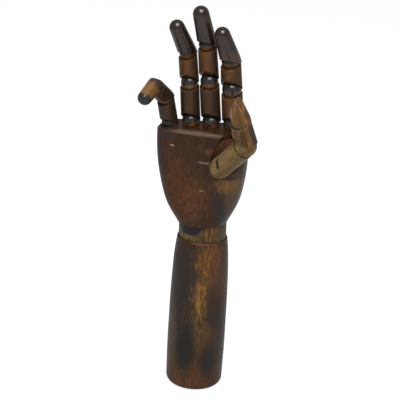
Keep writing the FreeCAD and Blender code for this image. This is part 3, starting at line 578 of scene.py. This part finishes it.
# Palm
palmLook = {
    "dark": paint(54, 33, 20),
    "middle": paint(69, 41, 22),
    "light": paint(90, 54, 28),
    "lightShare": 0.4,
    "poreShare": 0.15,
    "grainShare": 0.15,
    "streakRange": (0.3, 0.7),
    "worn": paint(132, 98, 74),
    "wear": 0.75,
    "edge": 0.0012,
    "roughness": (0.26, 0.4),
}
palmStainsAndPaintedLight = [
    # painted light: a pale patch that lightens the shaded hollow round the thumb's root
    {"middle": (0.0185, -0.014, 0.2275), "reach": (0.013, 0.0095, 0.0125),
     "colour": paint(160, 112, 84), "ragged": 0.05, "soft": 0.12, "share": 0.95},
    {"middle": (-0.02, -0.024, 0.19), "reach": (0.012, 0.02, 0.03), "colour": paint(80, 46, 20),
     "streaked": paint(102, 62, 28), "soft": 0.6, "share": 0.8},
    {"middle": (-0.004, -0.024, 0.182), "reach": (0.012, 0.02, 0.018), "colour": paint(82, 48, 22),
     "streaked": paint(116, 74, 32), "soft": 0.6, "share": 0.7},
    {"middle": (-0.0075, -0.023, 0.1735), "reach": (0.003, 0.02, 0.0035),
     "colour": paint(112, 60, 38), "ragged": 0.6, "share": 0.55},
    # painted highlight along the palm's rounded top front edge
    {"middle": (-0.002, -0.0225, 0.2408), "reach": (0.027, 0.006, 0.0017),
     "colour": paint(122, 98, 82), "ragged": 0.12, "soft": 0.35, "share": 0.75},
    {"middle": (0.0075, -0.0242, 0.2268), "reach": (0.003, 0.02, 0.0026),
     "colour": paint(112, 70, 38), "ragged": 0.6, "soft": 0.7, "share": 0.6},
    {"middle": (0.0, -0.024, 0.2295), "reach": (0.0022, 0.02, 0.0035), "colour": paint(100, 62, 36),
     "ragged": 0.5, "soft": 0.7, "share": 0.45},
    {"middle": (0.0187, -0.022, 0.184), "reach": (0.0055, 0.02, 0.016), "colour": paint(52, 44, 40),
     "ragged": 0.45, "soft": 0.4, "share": 0.85},
    {"middle": (0.0225, -0.02, 0.166), "reach": (0.0055, 0.02, 0.012), "colour": paint(50, 46, 46),
     "ragged": 0.3, "soft": 0.4, "share": 0.8},
    # painted sheen: a paler greyish patch where the palm's right side turns away
    {"middle": (0.03, -0.016, 0.19), "reach": (0.007, 0.02, 0.03), "colour": paint(98, 84, 70),
     "ragged": 0.3, "soft": 0.6, "share": 0.65},
    {"middle": (0.026, -0.02, 0.2), "reach": (0.01, 0.02, 0.008), "colour": paint(120, 84, 42),
     "streaked": paint(146, 104, 54), "ragged": 0.5, "soft": 0.5, "share": 0.75},
    {"middle": (-0.0145, -0.024, 0.2113), "reach": (0.0013, 0.02, 0.0016),
     "colour": paint(48, 42, 42), "ragged": 0.5, "share": 0.85},
    {"middle": (-0.0068, -0.024, 0.2053), "reach": (0.0012, 0.02, 0.0024),
     "colour": paint(44, 36, 34), "ragged": 0.4, "share": 0.9},
    {"middle": (-0.0112, -0.0232, 0.1775), "reach": (0.0014, 0.02, 0.0026),
     "colour": paint(44, 42, 44), "ragged": 0.4, "share": 0.9},
    {"middle": (0.003, -0.0242, 0.1915), "reach": (0.0021, 0.02, 0.0006),
     "colour": paint(170, 122, 74), "ragged": 0.5, "share": 0.8},
    {"middle": (-0.0249, -0.0243, 0.2284), "reach": (0.002, 0.02, 0.0004),
     "colour": paint(206, 188, 172), "ragged": 0.3, "share": 0.9},
    {"middle": (0.005, -0.0245, 0.2165), "reach": (0.0055, 0.02, 0.0009),
     "colour": paint(132, 116, 106), "ragged": 0.5, "soft": 0.6, "share": 0.8},
    # painted shadow: dark bands along the rim of the thumb's socket below its root
    {"middle": (0.011, -0.0242, 0.2085), "reach": (0.0065, 0.01, 0.003),
     "colour": paint(50, 36, 34), "ragged": 0.25, "soft": 0.6, "share": 0.85},
    {"middle": (0.0245, -0.0235, 0.2058), "reach": (0.008, 0.01, 0.0022),
     "colour": paint(46, 34, 36), "ragged": 0.2, "soft": 0.5, "share": 0.85},
    {"middle": (-0.034, -0.018, 0.196), "reach": (0.004, 0.02, 0.04), "colour": paint(62, 50, 48),
     "ragged": 0.2, "soft": 0.6, "share": 0.6},
    # painted shadow of the little finger on the palm's top left corner
    {"middle": (-0.03, -0.02, 0.238), "reach": (0.006, 0.02, 0.004), "colour": paint(52, 48, 46),
     "ragged": 0.4, "soft": 0.5, "share": 0.7},
]
dress("palm", woodMaterial("palmWood", palmLook, None, palmStainsAndPaintedLight))
print("forearm, wrist and palm dressed")


# Fingers
def tones(dark, middle, light):
    return {"dark": paint(*dark), "middle": paint(*middle), "light": paint(*light)}


fingerTones = {
    "nearDark": tones((52, 38, 26), (80, 54, 33), (104, 71, 38)),
    "nearOrange": tones((74, 47, 27), (108, 70, 38), (138, 92, 44)),
    "nearTan": tones((104, 72, 40), (140, 102, 58), (172, 128, 70)),
    "tip": tones((36, 22, 15), (50, 31, 21), (76, 50, 32)),
    # the balls' dark tone is partly their dark polished finish and partly painted shade under the
    # scooped ends of the bones above them
    "ball": tones((26, 25, 26), (38, 35, 34), (54, 46, 38)),
}
# each finger's band colours below paint the ball's lower band: partly worn ochre varnish, partly
# painted light on its lit lower side
fingerTints = {
    "index": {
        "first": "nearOrange", "second": "nearOrange",
        "rubbedAndLit": {"colour": paint(82, 58, 46), "streaked": paint(112, 80, 64)},
        "foot": paint(84, 58, 38),
    },
    "middle": {
        "first": "nearDark", "second": "nearOrange",
        "rubbedAndLit": {"colour": paint(88, 56, 36), "streaked": paint(164, 98, 52)},
        "foot": paint(34, 22, 16),
    },
    "ring": {
        "first": "nearDark", "second": "nearOrange",
        "rubbedAndLit": {"colour": paint(86, 62, 34), "streaked": paint(158, 120, 52)},
        "foot": paint(26, 18, 14),
    },
    "little": {
        "first": "nearDark", "second": "nearDark",
        "rubbedAndLit": {"colour": paint(82, 68, 58), "streaked": paint(118, 100, 88)},
    },
}
fingerFinish = {
    "bone": {
        "lightShare": 0.55, "worn": paint(160, 116, 74), "wear": 0.8, "roughness": (0.24, 0.38),
    },
    "glossBall": {"coat": 0.8, "coatIor": 1.7},
    "endBall": {"coat": 0.5},
    "tip": {"coat": 1.0, "wear": 0.4, "coatRoughness": 0.1, "coatIor": 1.6},
    "littleTip": {"coat": 0.5, "wear": 0.4},
}
fingerShade = {
    "middle": (0.0085, -0.003, 0.013), "reach": (0.0042, 0.006, 0.02),
    "colour": paint(42, 35, 31), "ragged": 0.3, "soft": 0.45, "share": 0.6,
}
fingerBands = {
    # the knuckle and middle-ball bands: worn ochre and painted light on the lower side of each ball
    "knuckle": {"from": 0.0006, "below": True, "wave": 0.012, "soft": 0.0005, "share": 0.9},
    "middleBall": {"from": -0.0002, "below": True, "wave": 0.012, "soft": 0.0005, "share": 0.9},
    "endBall": {"from": 0.0006, "below": True, "wave": 0.008},
    "foot": {"from": 0.011, "below": True, "wave": 0.03, "soft": 0.006, "share": 0.7},
    # painted shade on the little finger's downward-facing rounded tip
    "littleShadedCap": {"colour": paint(48, 46, 50), "wave": 0.006, "soft": 0.0004},
    "littleFoot": {
        "from": 0.004, "below": True, "colour": paint(70, 60, 54), "wave": 0.02, "soft": 0.002,
    },
}
# length of the painted shade at the little finger's tip
littleShadedCapLength = 0.0048


def dressBone(node, label, tone, finish, placing, stainsAndLight=(), bands=()):
    look = {**fingerFinish["bone"], **fingerTones[tone], **fingerFinish[finish]}
    dress(node, woodMaterial(label, look, placing, stainsAndLight, bands))


def dressTip(finger, foot):
    tipJoint = jointPlace(f"{finger}_end_bend")
    tipEnd = farthest(f"{finger}_end_bone", tipJoint)
    third = boneFrame(f"{finger}_end_bend", tipEnd)
    if finger == "little":
        capStart = (tipEnd - tipJoint).length - littleShadedCapLength
        caps = [{**fingerBands["littleShadedCap"], "from": capStart}, fingerBands["littleFoot"]]
        dressBone("little_end_bone", "littleEndWood", "nearTan", "littleTip", third, (), caps)
    else:
        bands = [{**fingerBands["foot"], "colour": foot}]
        dressBone(f"{finger}_end_bone", f"{finger}EndWood", "tip", "tip", third, (), bands)


def dressFinger(finger):
    tints = fingerTints[finger]
    middle = jointPlace(f"{finger}_middle_bend")
    end = jointPlace(f"{finger}_end_bend")
    first = boneFrame(f"{finger}_knuckle_bend", middle)
    second = boneFrame(f"{finger}_middle_bend", end)
    cover = fingerTones[tints["second"]]
    rubbedAndLit = [{**fingerBands[part], **tints["rubbedAndLit"]} for part in ("knuckle", "middleBall")]
    worn = {**fingerBands["endBall"], "colour": cover["middle"], "streaked": cover["dark"]}
    onFirst = movedFrame(first, middle)
    onSecond = movedFrame(second, end)
    shade = [fingerShade]
    for part, label, tone, finish, placing, stainsAndLight, bands in (
        ("knuckle", "Knuckle", "ball", "glossBall", first, (), rubbedAndLit[:1]),
        ("first_bone", "First", tints["first"], "bone", first, shade, ()),
        ("middle_ball", "MiddleBall", "ball", "glossBall", onFirst, (), rubbedAndLit[1:]),
        ("second_bone", "Second", tints["second"], "bone", second, shade, ()),
        ("end_ball", "EndBall", "ball", "endBall", onSecond, (), [worn]),
    ):
        dressBone(f"{finger}_{part}", f"{finger}{label}Wood", tone, finish, placing, stainsAndLight, bands)
    dressTip(finger, tints.get("foot"))


for finger in fingerTints:
    dressFinger(finger)
print("fingers dressed")

# Thumb
thumbTones = {
    "dark": paint(106, 82, 50),
    "middle": paint(142, 113, 70),
    "light": paint(174, 144, 88),
    "lightShare": 0.6,
    "worn": paint(176, 146, 100),
    "wear": 0.9,
    "roughness": (0.3, 0.45),
}
thumbDark = {
    **thumbTones,
    "dark": paint(84, 58, 32),
    "middle": paint(114, 80, 44),
    "light": paint(158, 116, 60),
    "worn": paint(176, 148, 124),
    "wear": 3.0,
    "edge": 0.0011,
}
thumbPale = {
    **thumbTones,
    "dark": paint(96, 68, 40),
    "middle": paint(124, 90, 50),
    "light": paint(164, 126, 66),
    "worn": paint(186, 160, 138),
    "wear": 3.0,
    "edge": 0.0007,
}
thumbFacets = {
    "second": {"frontTurn": 38.0, "sideTurn": 50.0, "reach": 0.0099, "slant": 0.112},
    "end": {"frontTurn": 28.0, "sideTurn": 52.0, "reach": 0.0087, "slant": 0.335},
}
# the clipped lower corner: a point on the cut, and the way it faces
thumbCorner = ((0.0052, 0.00877, -0.00083), (-0.131, 0.808, -0.578))
# painted shade along the first bone's slot, and a painted lit sliver of the palm hole's inner wall
# beside it
thumbSlotShadeAndLitSliver = {
    "points": (
        (0.0047, -0.008, 0.0112), (0.0062, -0.0069, 0.0101), (0.0073, -0.0057, 0.0094),
        (0.0082, -0.0043, 0.0088), (0.0089, -0.003, 0.0081),
    ),
    "each": {"reach": (0.0017,) * 3, "colour": paint(50, 40, 40), "ragged": 0.1, "soft": 0.15},
    "litSliver": {
        "middle": (0.004, -0.0086, 0.0165), "reach": (0.003, 0.0022, 0.0075),
        "colour": paint(150, 118, 100), "ragged": 0.4, "soft": 0.5, "share": 0.75,
    },
}
thumbStainsAndShadow = {
    "end": [
        {"middle": (0.0049, -0.0043, 0.0093), "reach": (0.0019, 0.0014, 0.006),
         "colour": paint(164, 140, 124), "ragged": 0.3, "soft": 0.4, "share": 0.8},
        {"middle": (0.0014, 0.0036, 0.0152), "reach": (0.0032, 0.0024, 0.0026),
         "colour": paint(112, 66, 52), "ragged": 0.2, "soft": 0.25, "share": 0.85},
        {"middle": (-0.0005, 0.0072, 0.007), "reach": (0.0032, 0.0017, 0.009),
         "colour": paint(86, 58, 48), "ragged": 0.3, "soft": 0.35, "share": 0.8},
    ],
    "second": [
        # painted shadow in the seam at the second bone's lower end, above the middle joint
        {"middle": (0.0085, -0.0035, 0.0035), "reach": (0.0035, 0.0035, 0.0016),
         "colour": paint(46, 34, 30), "ragged": 0.2, "soft": 0.3, "share": 0.9},
        {"middle": (0.0068, -0.0058, 0.015), "reach": (0.002, 0.0014, 0.0065),
         "colour": paint(152, 124, 108), "ragged": 0.3, "soft": 0.4, "share": 0.75},
        {"middle": (-0.0015, 0.0095, 0.011), "reach": (0.0045, 0.0045, 0.013),
         "colour": paint(62, 46, 46), "ragged": 0.3, "soft": 0.4, "share": 0.8},
        {"middle": (0.0075, 0.0055, 0.0125), "reach": (0.0016, 0.003, 0.0065),
         "colour": paint(72, 48, 24), "ragged": 0.7, "soft": 0.5, "share": 0.8},
    ],
}


# flat faces along the front of a thumb bone, closer in towards its narrow end
def facetCuts(bone):
    facets = thumbFacets[bone]
    cuts = []
    for turnAngle in (0, -facets["sideTurn"], facets["sideTurn"]):
        angle = math.radians(facets["frontTurn"] + turnAngle)
        out = Vector((math.cos(angle), math.sin(angle), 0))
        cuts.append((out * facets["reach"], (out.x, out.y, facets["slant"])))
    return cuts


# a thumb bone with its facets, in place of the round one
def carveThumb(bone, placing, cuts, label, look):
    body = f"thumb_{bone}_bone"
    piece = carve(body, f"thumb_{bone}_carved", placing, cuts, body)
    piece.data.materials.append(woodMaterial(label, look, placing, thumbStainsAndShadow[bone]))


def dressThumb():
    middle = jointPlace("thumb_middle_bend")
    end = jointPlace("thumb_end_bend")
    first = boneFrame("thumb_swing", middle)
    second = boneFrame("thumb_middle_bend", end)
    third = boneFrame("thumb_end_bend", farthest("thumb_end_bone", end))
    # painted shade along the slot and painted light on the sliver beside it
    slot = [{**thumbSlotShadeAndLitSliver["each"], "middle": point} for point in thumbSlotShadeAndLitSliver["points"]]
    slot.append(thumbSlotShadeAndLitSliver["litSliver"])
    dress("thumb_first_bone", woodMaterial("thumbFirstWood", thumbTones, first, slot))
    onFirst = movedFrame(first, middle)
    dress("thumb_middle_ball", woodMaterial("thumbMiddleBallWood", thumbTones, onFirst))
    carveThumb("second", second, facetCuts("second") + [thumbCorner], "thumbSecondWood", thumbDark)
    onSecond = movedFrame(second, end)
    dress("thumb_end_ball", woodMaterial("thumbEndBallWood", thumbTones, onSecond))
    carveThumb("end", third, facetCuts("end"), "thumbEndWood", thumbPale)


dressThumb()
print("thumb dressed")

# Wooden plugs over the pin ends, flush with the balls
plugSizes = {
    "depth": 0.0012,
    "sink": 0.00004,
    "edge": 0.00012,
    "segments": 28,
    "linkRadius": 0.00093,
    "rootRadius": 0.00138,
    "wristRadius": 0.00162,
    "knuckleExtra": 0.0002,
    "rootReach": 0.0102,
    "wristReach": 0.0213,
}


# both ends of one pin; reach is the ball's own radius
def addPlugs(name, body, joint, radius, reach, coveredNode):
    shape = bmesh.new()
    for side in (1, -1):
        way = jointAxis(joint).normalized() * side
        seat = way.to_track_quat("Z", "Y").to_matrix().to_4x4()
        middleReach = reach - plugSizes["sink"] - plugSizes["depth"] / 2
        seat.translation = jointPlace(joint) + way * middleReach
        bmesh.ops.create_cone(
            shape, cap_ends=True, cap_tris=False, segments=plugSizes["segments"],
            radius1=radius, radius2=radius, depth=plugSizes["depth"], matrix=seat,
        )
    rims = [edge for edge in shape.edges if any(len(face.verts) > 4 for face in edge.link_faces)]
    bmesh.ops.bevel(
        shape, geom=rims, offset=plugSizes["edge"], offset_type="OFFSET", segments=2,
        profile=0.5, affect="EDGES", material=-1,
    )
    for face in shape.faces:
        face.smooth = len(face.verts) < 5
    mesh = bpy.data.meshes.new(name)
    shape.to_mesh(mesh)
    shape.free()
    mesh.materials.append(nodes[coveredNode].data.materials[0])
    piece = bpy.data.objects.new(name, mesh)
    bpy.context.scene.collection.objects.link(piece)
    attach(piece, body)


def plugBall(ball, joint, body, extra=0.0, coveredNode=None, name=None):
    ballJoint = ball.replace("_ball", "_bend")
    middle = jointPlace(ballJoint)
    reach = max((vertex.co - middle).length for vertex in nodes[ball].data.vertices) + extra
    name = name or f"{ball}_plugs"
    addPlugs(name, body, joint, plugSizes["linkRadius"], reach, coveredNode or ball)


for finger in fingerTints:
    plugBall(f"{finger}_middle_ball", f"{finger}_middle_bend", f"{finger}_first_bone")
    plugBall(f"{finger}_end_ball", f"{finger}_end_bend", f"{finger}_second_bone")
    plugBall(
        f"{finger}_middle_ball", f"{finger}_knuckle_bend", f"{finger}_knuckle",
        plugSizes["knuckleExtra"], f"{finger}_knuckle", f"{finger}_knuckle_plugs",
    )
plugBall("thumb_middle_ball", "thumb_middle_bend", "thumb_first_bone")
plugBall("thumb_end_ball", "thumb_end_bend", "thumb_second_bone")
addPlugs(
    "thumb_root_plugs", "thumb_first_bone", "thumb_swing",
    plugSizes["rootRadius"], plugSizes["rootReach"], "thumb_first_bone",
)
for name in ("wrist_tilt", "wrist_bend"):
    addPlugs(
        f"{name}_plugs", "wrist_ball", name,
        plugSizes["wristRadius"], plugSizes["wristReach"], "wrist_ball",
    )
print("pin plugs added")

# Steel: links, pins, rod, nut and washer
steelLook = {
    "bright": paint(150, 148, 142),
    "dull": paint(96, 92, 86),
    "brushLayer": (900, 4, 0.6, 0.15),
    "cloudLayer": (160, 5, 0.65, 1),
    "dullRange": (0.4, 0.62),
    "roughRange": (0.3, 0.7),
    "roughness": (0.26, 0.5),
    "relief": 0.25,
    "reliefDepth": 0.0002,
}
steelNodes = (
    "wrist_rod", "wrist_washer", "wrist_nut", "wrist_tilt_pin", "wrist_bend_pin",
    "palm_tie", "thumb_stud", "thumb_root_pin",
)


def steelMaterial():
    material = bpy.data.materials.new("linkSteel")
    material.use_nodes = True
    tree = material.node_tree
    shader = tree.nodes["Principled BSDF"]
    vector = put(tree, "TexCoord").outputs["Object"]
    brushed = speckle(tree, vector, steelLook["brushLayer"])
    clouds = speckle(tree, vector, steelLook["cloudLayer"])
    dull = spread(tree, clouds, *steelLook["dullRange"])
    colour = mixColour(tree, dull, steelLook["bright"], steelLook["dull"])
    feed(tree, shader.inputs["Base Color"], colour)
    shader.inputs["Metallic"].default_value = 1.0
    rough = spread(tree, clouds, *steelLook["roughRange"], *steelLook["roughness"])
    feed(tree, shader.inputs["Roughness"], rough)
    bump = put(tree, "Bump")
    bump.inputs["Strength"].default_value = steelLook["relief"]
    bump.inputs["Distance"].default_value = steelLook["reliefDepth"]
    feed(tree, bump.inputs["Height"], brushed)
    feed(tree, shader.inputs["Normal"], bump.outputs[0])
    return material


linkSteel = steelMaterial()
for name in nodes:
    if name.endswith("_hinge") or name in steelNodes:
        dress(name, linkSteel)
print("materials set")

# Floor, lights and surroundings
studio = {
    "keyPower": 9.0,
    "keySize": 0.75,
    "keyDistance": 1.2,
    "keyWay": (0.06, 0.57, 0.82),
    "surround": 0.42,
    "shineSurround": 0.24,
    "floorTone": 0.62,
    "floorLift": 0.72,
    "floorHalfSize": 4,
    "floorRoughness": 0.9,
}


def addFloor():
    mesh = bpy.data.meshes.new("paleFloor")
    shape = bmesh.new()
    bmesh.ops.create_grid(shape, x_segments=1, y_segments=1, size=studio["floorHalfSize"])
    shape.to_mesh(mesh)
    shape.free()
    floor = bpy.data.objects.new("paleFloor", mesh)
    bpy.context.scene.collection.objects.link(floor)
    material = bpy.data.materials.new("paleFloor")
    material.use_nodes = True
    tree = material.node_tree
    shader = tree.nodes["Principled BSDF"]
    tone = studio["floorTone"]
    shader.inputs["Base Color"].default_value = (tone, tone, tone, 1)
    shader.inputs["Roughness"].default_value = studio["floorRoughness"]
    shader.inputs["Specular IOR Level"].default_value = 0.0
    shader.inputs["Emission Color"].default_value = (1, 1, 1, 1)
    seen = put(tree, "LightPath").outputs["Is Camera Ray"]
    lift = sums(tree, "MULTIPLY", seen, studio["floorLift"])
    feed(tree, shader.inputs["Emission Strength"], lift)
    mesh.materials.append(material)


def addLights():
    across, up, outward = cameraAxes()
    way = studio["keyWay"]
    toward = (across * way[0] + up * way[1] + outward * way[2]).normalized()
    lamp = bpy.data.lights.new("keyPanel", "AREA")
    lamp.shape = "SQUARE"
    lamp.size = studio["keySize"]
    lamp.energy = studio["keyPower"]
    panel = bpy.data.objects.new("keyPanel", lamp)
    bpy.context.scene.collection.objects.link(panel)
    panel.location = Vector(cameraPlace["aim"]) + toward * studio["keyDistance"]
    panel.rotation_mode = "QUATERNION"
    panel.rotation_quaternion = toward.to_track_quat("Z", "Y")


def addSurroundings():
    world = bpy.data.worlds.new("whiteRoom")
    bpy.context.scene.world = world
    world.use_nodes = True
    tree = world.node_tree
    ground = tree.nodes["Background"]
    ground.inputs["Color"].default_value = (1, 1, 1, 1)
    path = put(tree, "LightPath").outputs
    direct = sums(tree, "MAXIMUM", path["Is Camera Ray"], path["Is Transmission Ray"])
    strength = spread(tree, direct, 0, 1, studio["surround"], 1.0)
    less = studio["shineSurround"] - studio["surround"]
    shine = spread(tree, path["Is Glossy Ray"], 0, 1, 0, less)
    feed(tree, ground.inputs["Strength"], sums(tree, "ADD", strength, shine))


addFloor()
addLights()
addSurroundings()
print("floor and lights set")
